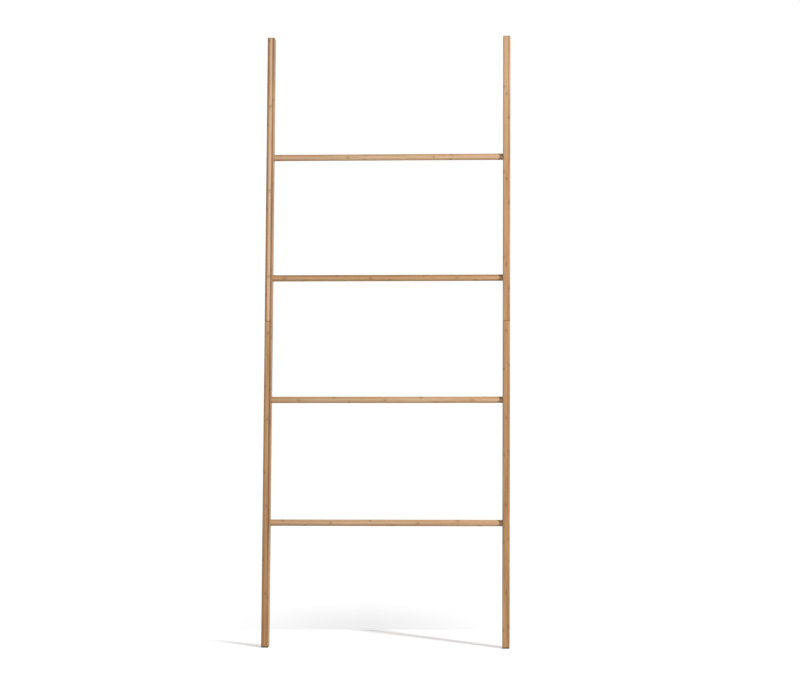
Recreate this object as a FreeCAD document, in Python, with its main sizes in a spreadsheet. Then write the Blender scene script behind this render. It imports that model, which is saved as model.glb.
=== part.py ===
import FreeCAD, Part
import math
import os
import re
import Sketcher

# A leaning blanket ladder of clear-finished bamboo, in the attitude in which it is used.
# Millimetres and degrees. +X is to the right of someone facing the ladder, +Y points to the wall
# behind it and +Z is up. The origin is on the floor, in the middle of the ladder's footprint:
# half way between the rails, and half way between the front of the feet and the wall.
#
# Each rail is two lengths of bamboo, joined end to end by a threaded stud. Four round rungs sit in
# blind sockets in the rails. At each end of a rung a countersunk screw comes through the rail and
# turns into a threaded insert in the rung. The feet are cut level and stand on rubber pads. The
# tops have a small plumb flat behind, with a felt pad that rests on the wall.
#
# A rail's own frame has its origin at the foot, in the middle of the rail's section, with z up the
# rail and y to the rear. "Up the rail" is a distance along that z.

SIZES = [
    ("lean_angle", 10.0, "rails from the plumb line, degrees"),
    ("rung_span", 574.0, "clear width between the rails"),
    ("foot_to_rung", 304.8, "foot's front edge to the lowest rung's centre, up the rail"),
    ("rung_pitch", 304.8, "rung to rung, centre to centre, up the rail"),
    ("rung_to_top", 304.8, "highest rung's centre to the top end, up the rail"),
    ("rung_to_joint", 195.4, "second rung's centre to the joint between the lengths"),
    ("rail_width", 18.0, "rail, seen from the front"),
    ("rail_depth", 30.0, "rail, front to rear"),
    ("rail_edge_radius", 5.0, "round on the rail's long edges"),
    ("top_chamfer", 1.2, "eased edge round the top end"),
    ("joint_chamfer", 0.5, "eased edge round the ends that meet at the joint"),
    ("rung_diameter", 16.0, "round rung"),
    ("rung_chamfer", 0.8, "eased end of a rung"),
    ("socket_depth", 6.0, "how deep a rung sits in the rail"),
    ("socket_clearance", 0.1, "all round a rung in its socket"),
    ("screw_diameter", 6.0, "shank of a rung screw"),
    ("screw_length", 40.0, "rung screw, from its flush head to its point"),
    ("screw_head_diameter", 12.0, "countersunk head"),
    ("screw_head_rim", 0.5, "straight rim of the head, above its cone"),
    ("screw_head_angle", 90.0, "the head's cone, degrees"),
    ("screw_point", 1.0, "chamfer at the screw's end"),
    ("screw_key", 4.0, "hex socket in the head, across flats"),
    ("screw_key_depth", 2.4, "depth of the hex socket"),
    ("shank_clearance", 0.2, "all round a screw's shank or a stud, where no thread holds it"),
    ("head_clearance", 0.1, "between the head and its countersink, along the screw"),
    ("rung_insert_diameter", 10.0, "threaded insert in a rung's end"),
    ("rung_insert_length", 20.0, "threaded insert in a rung's end"),
    ("stud_diameter", 8.0, "threaded stud in a rail joint"),
    ("stud_in_lower", 38.0, "stud's length in the lower rail"),
    ("stud_in_upper", 26.0, "stud's length in the upper rail"),
    ("stud_point", 1.0, "chamfer at both ends of the stud"),
    ("rail_insert_diameter", 12.0, "threaded insert in the upper rail's end"),
    ("rail_insert_length", 24.0, "threaded insert in the upper rail's end"),
    ("insert_recess", 0.5, "insert's end below the face that it is screwed into"),
    ("insert_chamfer", 0.5, "outer edges of an insert"),
    ("fit_clearance", 0.05, "all round a thread, and all round an insert in its hole"),
    ("bore_relief", 2.0, "bore past the end of a stud or a screw"),
    ("foot_pad_thickness", 3.0, "rubber under the foot"),
    ("foot_pad_inset", 0.4, "pad's edge inside the foot's edge"),
    ("wall_flat_height", 24.0, "plumb flat behind the top, up the rail"),
    ("wall_pad_width", 10.0, "felt pad on the plumb flat"),
    ("wall_pad_height", 18.0, "felt pad on the plumb flat"),
    ("wall_pad_corner", 2.0, "corner radius of the pad"),
    ("wall_pad_thickness", 1.5, "felt pad on the plumb flat"),
    ("cut_overrun", 2.0, "how far a slanting cut runs past the wood"),
]

# Lengths up the rail.
RAIL_LENGTH = "(foot_to_rung + 3 * rung_pitch + rung_to_top)"
LENGTH_OF = {
    "lower": "(foot_to_rung + rung_pitch + rung_to_joint)",
    "upper": "(2 * rung_pitch - rung_to_joint + rung_to_top)",
}
START_OF = {"lower": "0", "upper": LENGTH_OF["lower"]}

# Rungs from the lowest up: the rail length that holds each, and its centre's height up that length.
RUNGS = {
    "rung_1": ("lower", "foot_to_rung"),
    "rung_2": ("lower", "(foot_to_rung + rung_pitch)"),
    "rung_3": ("upper", "(rung_pitch - rung_to_joint)"),
    "rung_4": ("upper", "(2 * rung_pitch - rung_to_joint)"),
}

# Across the ladder.
SIDES = {"left": -1, "right": 1}
RAIL_CENTRE_X = "(rung_span / 2 + rail_width / 2)"
RAIL_OUTSIDE_X = "(rung_span / 2 + rail_width)"
RUNG_LENGTH = "(rung_span + 2 * socket_depth)"

# Front to rear, and up. The footprint runs from the front of the feet to the wall.
SIN = "sin(lean_angle)"
COS = "cos(lean_angle)"
TAN = "tan(lean_angle)"
FOOTPRINT = (
    f"(rail_depth * {COS} + ({RAIL_LENGTH} - wall_flat_height) * {SIN} + wall_pad_thickness)"
)
FOOT_DEPTH = f"(rail_depth / {COS})"
RAIL_Y = f"(rail_depth / 2 * {COS} - {FOOTPRINT} / 2)"
RAIL_Z = f"(foot_pad_thickness - rail_depth / 2 * {SIN})"

# Fastenings.
HEAD_CONE = "((screw_head_diameter - screw_diameter) / 2 / tan(screw_head_angle / 2))"
SCREW_IN_RUNG = "(screw_length - rail_width + socket_depth)"
THREAD_BORE = {
    "rung": "(screw_diameter / 2 + fit_clearance)",
    "rail": "(stud_diameter / 2 + fit_clearance)",
}

doc = FreeCAD.newDocument("blanket_ladder")
sheet = doc.addObject("Spreadsheet::Sheet", "Sizes")
for row, (alias, value, meaning) in enumerate(SIZES, start=1):
    sheet.set(f"A{row}", alias)
    sheet.set(f"B{row}", str(value))
    sheet.setAlias(f"B{row}", alias)
    sheet.set(f"C{row}", meaning)
doc.recompute()

ALONG = FreeCAD.Vector(1, 0, 0)
UP = FreeCAD.Vector(0, 0, 1)
ALIAS = re.compile(r"\b(" + "|".join(alias for alias, _, _ in SIZES) + r")\b")


# Drawing ---------------------------------------------------------------------------------------


def bind(target, prop, formula):
    """Ties a property of a feature, or a named constraint of a sketch, to the sheet."""
    target.setExpression(prop, ALIAS.sub(r"Sizes.\1", formula))


def new_body(name):
    """An empty body whose label is the sub-part's name."""
    body = doc.addObject("PartDesign::Body", name)
    body.Label = name
    return body


def new_sketch(body, what, plane, offset="0"):
    """A sketch on one of the body's own origin planes, moved along that plane's normal."""
    sketch = body.newObject("Sketcher::SketchObject", f"{body.Name}_{what}")
    support = next(f for f in body.Origin.OriginFeatures if f.Role == plane)
    sketch.AttachmentSupport = [(support, "")]
    sketch.MapMode = "FlatFace"
    bind(sketch, "AttachmentOffset.Base.z", offset)
    return sketch


def constrain(sketch, name, formula, kind, *where):
    """Adds a dimension, measured as drawn, and ties it to a formula."""
    index = sketch.addConstraint(Sketcher.Constraint(kind, *where))
    sketch.renameConstraint(index, name)
    bind(sketch, f"Constraints.{name}", formula)


def place_point(sketch, name, geometry, position, across, up):
    """Fixes a point of the sketch at (across, up) from the sketch's origin."""
    for axis, formula, line in (("X", across, -2), ("Y", up, -1)):
        if formula == "0":
            sketch.addConstraint(Sketcher.Constraint("PointOnObject", geometry, position, line))
        else:
            where = (-1, 1, geometry, position, 1.0)
            constrain(sketch, f"{name}_{axis}", formula, f"Distance{axis}", *where)


def draw_circle(sketch, name, radius, up="0"):
    """A circle on the sketch's upright axis."""
    circle = Part.Circle(FreeCAD.Vector(0, 1, 0), FreeCAD.Vector(0, 0, 1), 1)
    index = sketch.addGeometry(circle, False)
    place_point(sketch, name, index, 3, "0", up)
    constrain(sketch, f"{name}_radius", radius, "Radius", index, 1.0)


def draw_polygon(sketch, points):
    """A closed outline through the points, each a pair of formulas."""
    count = len(points)
    for index in range(count):
        start = FreeCAD.Vector(index + 1, (index + 1) ** 2, 0)
        following = (index + 1) % count
        end = FreeCAD.Vector(following + 1, (following + 1) ** 2, 0)
        sketch.addGeometry(Part.LineSegment(start, end), False)
    for index in range(count):
        following = (index + 1) % count
        sketch.addConstraint(Sketcher.Constraint("Coincident", index, 2, following, 1))
    for index, (across, up) in enumerate(points):
        place_point(sketch, f"p{index}", index, 1, across, up)


def draw_rounded_rectangle(sketch, width, height, radius):
    """A rectangle with round corners, centred on the sketch's origin."""
    centres = [FreeCAD.Vector(x, y, 0) for x, y in ((2, -2), (2, 2), (-2, 2), (-2, -2))]
    quarter = math.pi / 2
    arcs = [
        Part.ArcOfCircle(
            Part.Circle(centre, FreeCAD.Vector(0, 0, 1), 1), (turn - 1) * quarter, turn * quarter
        )
        for turn, centre in enumerate(centres)
    ]
    for turn, arc in enumerate(arcs):
        following = arcs[(turn + 1) % 4]
        sketch.addGeometry(arc, False)
        sketch.addGeometry(Part.LineSegment(arc.EndPoint, following.StartPoint), False)
    for index in range(8):
        sketch.addConstraint(Sketcher.Constraint("Tangent", index, 2, (index + 1) % 8, 1))
    right, top, left, bottom = 1, 3, 5, 7
    for index in (right, left):
        sketch.addConstraint(Sketcher.Constraint("Vertical", index))
    for index in (top, bottom):
        sketch.addConstraint(Sketcher.Constraint("Horizontal", index))
    for index in (2, 4, 6):
        sketch.addConstraint(Sketcher.Constraint("Equal", 0, index))
    sketch.addConstraint(Sketcher.Constraint("Symmetric", 0, 3, 4, 3, -1, 1))
    constrain(sketch, "width", width, "DistanceX", left, 1, right, 1, 6.0)
    constrain(sketch, "height", height, "DistanceY", bottom, 1, top, 1, 6.0)
    constrain(sketch, "radius", radius, "Radius", 0, 1.0)


# Features --------------------------------------------------------------------------------------


def extrude(body, kind, what, sketch, length, reverse=False, both_ways=False):
    """A Pad along the sketch's normal, or a Pocket against it, unless it is reversed."""
    feature = body.newObject(f"PartDesign::{kind}", f"{body.Name}_{what}")
    feature.Profile = sketch
    feature.SideType = "Symmetric" if both_ways else "One side"
    feature.Reversed = reverse
    bind(feature, "Length", length)
    sketch.Visibility = False
    return feature


def pad(body, what, sketch, length, **ways):
    return extrude(body, "Pad", what, sketch, length, **ways)


def pocket(body, what, sketch, length, **ways):
    """A Pocket, which has to take some wood, metal or rubber away."""
    doc.recompute()
    before = body.Shape.Volume
    feature = extrude(body, "Pocket", what, sketch, length, **ways)
    doc.recompute()
    if not feature.Shape.Volume < before:
        raise RuntimeError(f"{feature.Name} cuts nothing")
    return feature


def end_face(feature, direction):
    """The name of the flat face that lies furthest along a direction."""
    doc.recompute()
    faces = feature.Shape.Faces
    flat = [
        (face.CenterOfMass.dot(direction), f"Face{index}")
        for index, face in enumerate(faces, start=1)
        if isinstance(face.Surface, Part.Plane)
        and face.normalAt(0, 0).dot(direction) > 0.999
    ]
    return max(flat)[1]


def ease(body, what, feature, direction, size):
    """A chamfer all round the end of a body."""
    chamfer = body.newObject("PartDesign::Chamfer", f"{body.Name}_{what}")
    chamfer.Base = (feature, [end_face(feature, direction)])
    bind(chamfer, "Size", size)
    return chamfer


# Places ----------------------------------------------------------------------------------------


def lean_with_rails(body, across, up_the_rail):
    """Puts the body's origin on the rails' centre line at that height, and leans it with them."""
    base = (
        f"vector({across}; {RAIL_Y} + {up_the_rail} * {SIN}; {RAIL_Z} + {up_the_rail} * {COS})"
    )
    bind(body, "Placement", f"placement({base}; rotation(vector(1; 0; 0); -lean_angle))")


def face_inwards(body, side, from_middle, up_the_rail):
    """Puts a round body's origin that far from the middle, with its +X towards the middle."""
    half_turn = 180 if side == "right" else 0
    base = (
        f"vector({SIDES[side]} * {from_middle};"
        f" {RAIL_Y} + {up_the_rail} * {SIN}; {RAIL_Z} + {up_the_rail} * {COS})"
    )
    bind(body, "Placement", f"placement({base}; rotation(vector(0; 0; 1); {half_turn}))")


def stand(body, across, rearward, up):
    """Puts the body's origin at a plain place, upright."""
    place = f"placement(vector({across}; {rearward}; {up}); rotation(vector(0; 0; 1); 0))"
    bind(body, "Placement", place)


def rung_height(name):
    """A rung's centre, up the whole rail."""
    part, height = RUNGS[name]
    return f"({START_OF[part]} + {height})"


# Rails -----------------------------------------------------------------------------------------


def cut_rung_seats(body, side, part):
    """Blind sockets in the inner face, and a countersunk hole behind each from the outer face."""
    heights = [height for held_by, height in RUNGS.values() if held_by == part]
    outward = SIDES[side]

    sockets = new_sketch(body, "sockets_sketch", "YZ_Plane", f"{-outward} * rail_width / 2")
    for index, height in enumerate(heights):
        draw_circle(sockets, f"socket{index}", "rung_diameter / 2 + socket_clearance", height)
    pocket(body, "sockets", sockets, "socket_depth", reverse=outward > 0)

    shanks = new_sketch(body, "shanks_sketch", "YZ_Plane", f"{outward} * rail_width / 2")
    for index, height in enumerate(heights):
        draw_circle(shanks, f"shank{index}", "screw_diameter / 2 + shank_clearance", height)
    doc.recompute()
    before = body.Shape.Volume
    hole = body.newObject("PartDesign::Hole", f"{body.Name}_screw_holes")
    hole.Profile = shanks
    hole.Threaded = False
    hole.HoleCutType = "Countersink"
    hole.HoleCutCustomValues = True
    hole.DepthType = "Dimension"
    hole.DrillPoint = "Flat"
    hole.Reversed = outward < 0
    bind(hole, "Diameter", "screw_diameter + 2 * shank_clearance")
    bind(hole, "Depth", "rail_width")
    bind(
        hole,
        "HoleCutDiameter",
        "screw_head_diameter"
        " + 2 * (screw_head_rim + head_clearance) * tan(screw_head_angle / 2)",
    )
    bind(hole, "HoleCutCountersinkAngle", "screw_head_angle")
    shanks.Visibility = False
    doc.recompute()
    if not hole.Shape.Volume < before:
        raise RuntimeError(f"{hole.Name} cuts nothing")


def new_rail_length(side, part):
    """A plain length of rail, with its round long edges."""
    body = new_body(f"{side}_rail_{part}")
    section = new_sketch(body, "section", "XY_Plane")
    draw_rounded_rectangle(section, "rail_width", "rail_depth", "rail_edge_radius")
    wood = pad(body, "wood", section, LENGTH_OF[part])
    lean_with_rails(body, f"{SIDES[side]} * {RAIL_CENTRE_X}", START_OF[part])
    return body, wood


def make_lower_rail(side):
    """The length that stands on the floor: a level foot, and a bore for the stud at its top."""
    body, wood = new_rail_length(side, "lower")
    ease(body, "joint_edge", wood, UP, "joint_chamfer")

    foot = new_sketch(body, "foot_sketch", "YZ_Plane")
    rear = "(rail_depth / 2 + cut_overrun)"
    low = f"(-cut_overrun * {TAN})"
    high = f"((rail_depth + cut_overrun) * {TAN})"
    draw_polygon(foot, [(f"-{rear}", low), (rear, low), (rear, high)])
    pocket(body, "foot_cut", foot, "rail_width + 2 * cut_overrun", both_ways=True)

    bore = new_sketch(body, "bore_sketch", "XY_Plane", LENGTH_OF["lower"])
    draw_circle(bore, "bore", THREAD_BORE["rail"])
    pocket(body, "bore", bore, "stud_in_lower + bore_relief")
    cut_rung_seats(body, side, "lower")


def make_upper_rail(side):
    """The length that rests on the wall: an insert's bore at the joint, a plumb flat at the top."""
    body, wood = new_rail_length(side, "upper")
    joint = ease(body, "joint_edge", wood, -UP, "joint_chamfer")
    ease(body, "top_edge", joint, UP, "top_chamfer")

    flat = new_sketch(body, "flat_sketch", "YZ_Plane")
    rear = f"(rail_depth / 2 + cut_overrun * {TAN})"
    front = f"(rail_depth / 2 - (wall_flat_height + cut_overrun) * {TAN})"
    low = f"({LENGTH_OF['upper']} - wall_flat_height - cut_overrun)"
    high = f"({LENGTH_OF['upper']} + cut_overrun)"
    draw_polygon(flat, [(rear, low), (rear, high), (front, high)])
    pocket(body, "wall_flat", flat, "rail_width + 2 * cut_overrun", both_ways=True)

    seat = new_sketch(body, "seat_sketch", "XY_Plane")
    draw_circle(seat, "seat", "rail_insert_diameter / 2 + fit_clearance")
    pocket(body, "seat", seat, "insert_recess + rail_insert_length", reverse=True)
    bore = new_sketch(body, "bore_sketch", "XY_Plane")
    draw_circle(bore, "bore", "stud_diameter / 2 + shank_clearance")
    pocket(body, "bore", bore, "stud_in_upper + bore_relief", reverse=True)
    cut_rung_seats(body, side, "upper")


# Rungs -----------------------------------------------------------------------------------------


def make_rung(name):
    """A round rung along X, bored alike at both ends for an insert and the screw behind it."""
    body = new_body(name)
    section = new_sketch(body, "section", "YZ_Plane")
    draw_circle(section, "section", "rung_diameter / 2")
    wood = pad(body, "wood", section, RUNG_LENGTH, both_ways=True)
    right_end = ease(body, "right_end", wood, ALONG, "rung_chamfer")
    ease(body, "left_end", right_end, -ALONG, "rung_chamfer")

    bores = []
    for what, radius, depth in (
        ("seat", "rung_insert_diameter / 2 + fit_clearance", "insert_recess + rung_insert_length"),
        ("bore", "screw_diameter / 2 + shank_clearance", f"{SCREW_IN_RUNG} + bore_relief"),
    ):
        circle = new_sketch(body, f"{what}_sketch", "YZ_Plane", f"{RUNG_LENGTH} / 2")
        draw_circle(circle, what, radius)
        bores.append(pocket(body, what, circle, depth))
    mirrored = body.newObject("PartDesign::Mirrored", f"{name}_other_end")
    mirrored.Originals = bores
    middle = next(f for f in body.Origin.OriginFeatures if f.Role == "YZ_Plane")
    mirrored.MirrorPlane = (middle, [""])
    body.Tip = mirrored
    lean_with_rails(body, "0", rung_height(name))


# Fastenings ------------------------------------------------------------------------------------


def make_insert(name, plane, outer_diameter, bore_radius, length):
    """A threaded sleeve whose outer end is at its origin."""
    body = new_body(name)
    ring = new_sketch(body, "ring", plane)
    draw_circle(ring, "outside", f"{outer_diameter} / 2")
    draw_circle(ring, "inside", bore_radius)
    sleeve = pad(body, "sleeve", ring, length)
    direction = ALONG if plane == "YZ_Plane" else UP
    far_end = ease(body, "far_edge", sleeve, direction, "insert_chamfer")
    ease(body, "near_edge", far_end, -direction, "insert_chamfer")
    return body


def make_rung_screw(name, side, height):
    """A countersunk screw along X, turned from one profile, with a hex socket in its head."""
    body = new_body(name)
    profile = new_sketch(body, "profile", "XY_Plane")
    head, shank = "screw_head_diameter / 2", "screw_diameter / 2"
    outline = [
        ("0", "0"),
        ("0", head),
        ("screw_head_rim", head),
        (f"screw_head_rim + {HEAD_CONE}", shank),
        ("screw_length - screw_point", shank),
        ("screw_length", f"{shank} - screw_point"),
        ("screw_length", "0"),
    ]
    draw_polygon(profile, outline)
    turned = body.newObject("PartDesign::Revolution", f"{name}_turned")
    turned.Profile = profile
    turned.ReferenceAxis = (profile, ["H_Axis"])
    profile.Visibility = False
    doc.recompute()

    key = body.newObject("PartDesign::SubtractivePrism", f"{name}_key")
    key.Polygon = 6
    head_plane = next(f for f in body.Origin.OriginFeatures if f.Role == "YZ_Plane")
    key.AttachmentSupport = [(head_plane, "")]
    key.MapMode = "FlatFace"
    bind(key, "Circumradius", "screw_key / 2 / cos(30)")
    bind(key, "Height", "screw_key_depth")
    face_inwards(body, side, RAIL_OUTSIDE_X, height)


def make_rung_fastening(name, side):
    """The screw and the insert at one end of a rung."""
    height = rung_height(name)
    make_rung_screw(f"{name}_screw_{side}", side, height)
    insert = make_insert(
        f"{name}_insert_{side}",
        "YZ_Plane",
        "rung_insert_diameter",
        THREAD_BORE["rung"],
        "rung_insert_length",
    )
    face_inwards(insert, side, f"({RUNG_LENGTH} / 2 - insert_recess)", height)


def make_rail_joint(side):
    """The stud between the two lengths of a rail, and its insert in the upper one."""
    across = f"{SIDES[side]} * {RAIL_CENTRE_X}"
    stud = new_body(f"{side}_rail_stud")
    section = new_sketch(stud, "section", "XY_Plane", "-stud_in_lower")
    draw_circle(section, "section", "stud_diameter / 2")
    rod = pad(stud, "rod", section, "stud_in_lower + stud_in_upper")
    upper_end = ease(stud, "upper_point", rod, UP, "stud_point")
    ease(stud, "lower_point", upper_end, -UP, "stud_point")
    lean_with_rails(stud, across, LENGTH_OF["lower"])

    insert = make_insert(
        f"{side}_rail_insert",
        "XY_Plane",
        "rail_insert_diameter",
        THREAD_BORE["rail"],
        "rail_insert_length",
    )
    lean_with_rails(insert, across, f"({LENGTH_OF['lower']} + insert_recess)")


# Pads ------------------------------------------------------------------------------------------


def make_foot_pad(side):
    """A rubber pad with the outline of the level foot, which it stands under."""
    body = new_body(f"{side}_foot_pad")
    outline = new_sketch(body, "outline", "XY_Plane")
    draw_rounded_rectangle(
        outline,
        "rail_width - 2 * foot_pad_inset",
        f"{FOOT_DEPTH} - 2 * foot_pad_inset",
        "rail_edge_radius - foot_pad_inset",
    )
    pad(body, "rubber", outline, "foot_pad_thickness")
    middle_of_foot = f"({FOOT_DEPTH} / 2 - {FOOTPRINT} / 2)"
    stand(body, f"{SIDES[side]} * {RAIL_CENTRE_X}", middle_of_foot, "0")


def make_wall_pad(side):
    """A felt pad on the plumb flat behind the top, with its rear face on the wall."""
    body = new_body(f"{side}_wall_pad")
    outline = new_sketch(body, "outline", "XZ_Plane")
    draw_rounded_rectangle(outline, "wall_pad_width", "wall_pad_height", "wall_pad_corner")
    pad(body, "felt", outline, "wall_pad_thickness", reverse=True)
    flat_low_end = (
        f"({RAIL_Z} + ({RAIL_LENGTH} - wall_flat_height) * {COS} - rail_depth / 2 * {SIN})"
    )
    stand(
        body,
        f"{SIDES[side]} * {RAIL_CENTRE_X}",
        f"({FOOTPRINT} / 2 - wall_pad_thickness)",
        f"({flat_low_end} + wall_flat_height / {COS} / 2)",
    )


# The whole ladder ------------------------------------------------------------------------------


def make_ladder():
    for side in SIDES:
        make_lower_rail(side)
        make_upper_rail(side)
        make_rail_joint(side)
        make_foot_pad(side)
        make_wall_pad(side)
    for name in RUNGS:
        make_rung(name)
        for side in SIDES:
            make_rung_fastening(name, side)
    doc.recompute()


def check_objects():
    """Stops if anything in the document failed to compute."""
    for item in doc.Objects:
        if {"Invalid", "Error"} & set(item.State):
            raise RuntimeError(f"{item.Name} failed: {item.State}")


def check_bodies(bodies):
    """Stops if a sub-part isn't one sound solid."""
    for body in bodies:
        shape = body.Shape
        if shape.isNull() or not shape.isValid() or len(shape.Solids) != 1:
            raise RuntimeError(f"{body.Label} isn't one sound solid")


make_ladder()
check_objects()
ladder_bodies = [item for item in doc.Objects if item.TypeId == "PartDesign::Body"]
check_bodies(ladder_bodies)

os.makedirs("parts", exist_ok=True)
for ladder_body in ladder_bodies:
    ladder_body.Shape.exportStep(os.path.join("parts", f"{ladder_body.Label}.step"))

whole = Part.makeCompound([ladder_body.Shape for ladder_body in ladder_bodies])
size = whole.optimalBoundingBox()
print(f"{len(ladder_bodies)} sub-parts, {whole.Volume / 1e6:.3f} litres")
print(f"X {size.XMin:.2f} to {size.XMax:.2f}, Y {size.YMin:.2f} to {size.YMax:.2f},"
      f" Z {size.ZMin:.2f} to {size.ZMax:.2f}")
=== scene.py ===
"""Dresses the leaning blanket ladder and stands it on its stage.

Metres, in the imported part's frame: +X is to the right of someone facing the ladder, +Y points to the wall
that it leans on, +Z is up, and the origin is on the floor in the middle of the footprint. "Up the rail" is
a distance along a rail from the front edge of its foot.
"""

import math

import bpy
from bpy.props import FloatProperty, FloatVectorProperty, PointerProperty
from mathutils import Matrix, Vector


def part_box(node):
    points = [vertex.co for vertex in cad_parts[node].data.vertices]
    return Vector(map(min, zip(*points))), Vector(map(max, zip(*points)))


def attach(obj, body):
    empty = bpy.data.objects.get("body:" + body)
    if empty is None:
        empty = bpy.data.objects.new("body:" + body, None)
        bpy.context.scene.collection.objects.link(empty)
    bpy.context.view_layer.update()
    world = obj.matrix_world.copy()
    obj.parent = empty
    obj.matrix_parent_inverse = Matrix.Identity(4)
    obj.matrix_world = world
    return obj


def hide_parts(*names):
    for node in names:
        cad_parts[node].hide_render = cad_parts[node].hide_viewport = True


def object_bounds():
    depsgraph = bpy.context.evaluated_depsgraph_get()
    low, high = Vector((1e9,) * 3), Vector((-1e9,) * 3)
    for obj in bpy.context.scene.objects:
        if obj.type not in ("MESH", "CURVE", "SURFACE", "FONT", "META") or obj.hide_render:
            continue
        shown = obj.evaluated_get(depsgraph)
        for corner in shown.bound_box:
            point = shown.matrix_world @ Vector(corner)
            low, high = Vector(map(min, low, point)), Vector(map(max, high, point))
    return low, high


bl_info = {
    "name": "Blanket Ladder",
    "version": (1, 0, 0),
    "blender": (4, 5, 0),
    "location": "View3D > Sidebar > Ladder",
    "description": "Builds the bamboo, fastenings and pads of a leaning blanket ladder, and its stage",
    "category": "Object",
}

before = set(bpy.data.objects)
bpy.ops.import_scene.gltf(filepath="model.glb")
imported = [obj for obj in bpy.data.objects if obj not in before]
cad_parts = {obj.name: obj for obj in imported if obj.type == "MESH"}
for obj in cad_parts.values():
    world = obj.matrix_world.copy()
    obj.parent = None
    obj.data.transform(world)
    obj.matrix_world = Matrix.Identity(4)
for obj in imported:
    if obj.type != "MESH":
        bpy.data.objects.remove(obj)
CAD_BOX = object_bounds()

BODY = "root"
SIDES = {"left": -1, "right": 1}
RUNG_NAMES = [f"rung_{number}" for number in range(1, 5)]

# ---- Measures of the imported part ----


def middle(node):
    """The middle of a CAD node's box."""
    low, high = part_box(node)
    return (low + high) / 2


def extent(node):
    """The size of a CAD node's box."""
    low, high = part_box(node)
    return high - low


LOWEST_RUNG = middle("rung_1")
RUNG_PITCH = (middle("rung_4") - LOWEST_RUNG).length / 3
UP_RAIL = (middle("rung_4") - LOWEST_RUNG).normalized()
LEAN = math.atan2(UP_RAIL.y, UP_RAIL.z)
INTO_RAIL_FRAME = Matrix.Rotation(LEAN, 3, "X")

FOOT_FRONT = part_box("left_rail_lower")[0]
TO_FOOT_FRONT = INTO_RAIL_FRAME @ (FOOT_FRONT - LOWEST_RUNG)
RAIL_WIDTH = extent("left_rail_lower").x
RAIL_DEPTH = -2 * TO_FOOT_FRONT.y
FIRST_RUNG = -TO_FOOT_FRONT.z
RAIL_ORIGIN = LOWEST_RUNG - FIRST_RUNG * UP_RAIL
RAIL_X = middle("right_rail_lower").x

JOINT_Z = (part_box("left_rail_lower")[1].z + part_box("left_rail_upper")[0].z) / 2
JOINT = (JOINT_Z - RAIL_ORIGIN.z) / UP_RAIL.z
FLOOR_OF_WOOD = FOOT_FRONT.z
WALL_SIDE_OF_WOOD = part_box("left_rail_upper")[1].y
WALL_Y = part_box("left_wall_pad")[1].y

RUNG_LENGTH = extent("rung_1").x
RUNG_RADIUS = extent("rung_1").y / 2
SOCKET_DEPTH = (RUNG_LENGTH - 2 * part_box("right_rail_lower")[0].x) / 2
SCREW_LENGTH = extent("rung_1_screw_left").x
SCREW_HEAD_RADIUS = extent("rung_1_screw_left").y / 2
RUNG_INSERT_LENGTH = extent("rung_1_insert_left").x
RUNG_INSERT_RADIUS = extent("rung_1_insert_left").y / 2
RAIL_INSERT_RADIUS = extent("left_rail_insert").x / 2
STUD_RADIUS = extent("left_rail_stud").x / 2


# ---- Sizes and colours that a user may change ----


def number(name, description, default, **more):
    """A property that holds a number."""
    return FloatProperty(name=name, description=description, default=default, **more)


def length(name, description, default):
    """A property that holds a length in metres."""
    return number(name, description, default, unit="LENGTH", precision=5)


def colour(name, description, default):
    """A property that holds a linear colour."""
    return FloatVectorProperty(name=name, description=description, default=default, subtype="COLOR")


class LadderWood(bpy.types.PropertyGroup):
    """The bamboo of the rails and the rungs."""

    edge_radius: length("Edge radius", "Round on the long edges of a rail", 0.0022)
    top_chamfer: length("Top chamfer", "Chamfer of the CAD rail's top end", 0.0012)
    top_round: length("Top round", "Round that eases the top end, inside its chamfer", 0.00205)
    joint_round: length("Joint round", "Round that eases the ends that meet at the joint", 0.00085)
    rung_round: length("Rung round", "Round that eases the end of a rung", 0.00136)
    mouth_ease: length("Mouth ease", "Broken edge round the mouth of a socket", 0.0003)
    ring_spacing: length("Ring spacing", "Step between the rings of a rail's mesh", 0.006)
    layer: length("Layer", "Thickness of a glued layer of bamboo, across a rail", 0.0062)
    strip: length("Strip", "Width of a bamboo strip within its layer", 0.0113)
    internode: length("Internode", "From one node of the bamboo to the next along a strip", 0.215)
    pale: colour("Pale bamboo", "The lightest strips", (0.7, 0.47, 0.3))
    amber: colour("Amber bamboo", "The strips half way between", (0.5, 0.275, 0.115))
    deep: colour("Deep bamboo", "The darkest strips", (0.22, 0.095, 0.03))
    node_brown: colour("Node brown", "The line where a node crossed the strip", (0.13, 0.055, 0.025))


class LadderFastenings(bpy.types.PropertyGroup):
    """Screws, and the room that their holes leave."""

    shank_radius: length("Shank radius", "Shank of a rung screw", 0.003)
    rim: length("Rim", "Straight rim of a screw's head", 0.0005)
    key: length("Key", "Hex socket in a screw's head, across flats", 0.004)
    key_depth: length("Key depth", "Depth of the hex socket", 0.0024)
    point: length("Point", "Chamfer at a screw's end", 0.001)
    shank_room: length("Shank room", "All round a shank where no thread holds it", 0.0002)
    head_room: length("Head room", "Between a head and its countersink", 0.0001)
    socket_room: length("Socket room", "All round a rung in its socket", 0.0001)
    insert_room: length("Insert room", "All round an insert or a stud in its hole", 0.00005)
    recess: length("Recess", "An insert's end below the face that it is in", 0.0005)
    relief: length("Relief", "Bore past the end of a screw or a stud", 0.002)
    stud_in_lower: length("Stud in lower", "Stud's length in the lower rail", 0.038)
    stud_in_upper: length("Stud in upper", "Stud's length in the upper rail", 0.026)
    rail_insert_length: length("Rail insert length", "Insert in the upper rail's end", 0.024)
    zinc: colour("Zinc", "Zinc-plated steel", (0.55, 0.56, 0.58))
    brass: colour("Brass", "Turned brass", (0.62, 0.42, 0.13))


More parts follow.
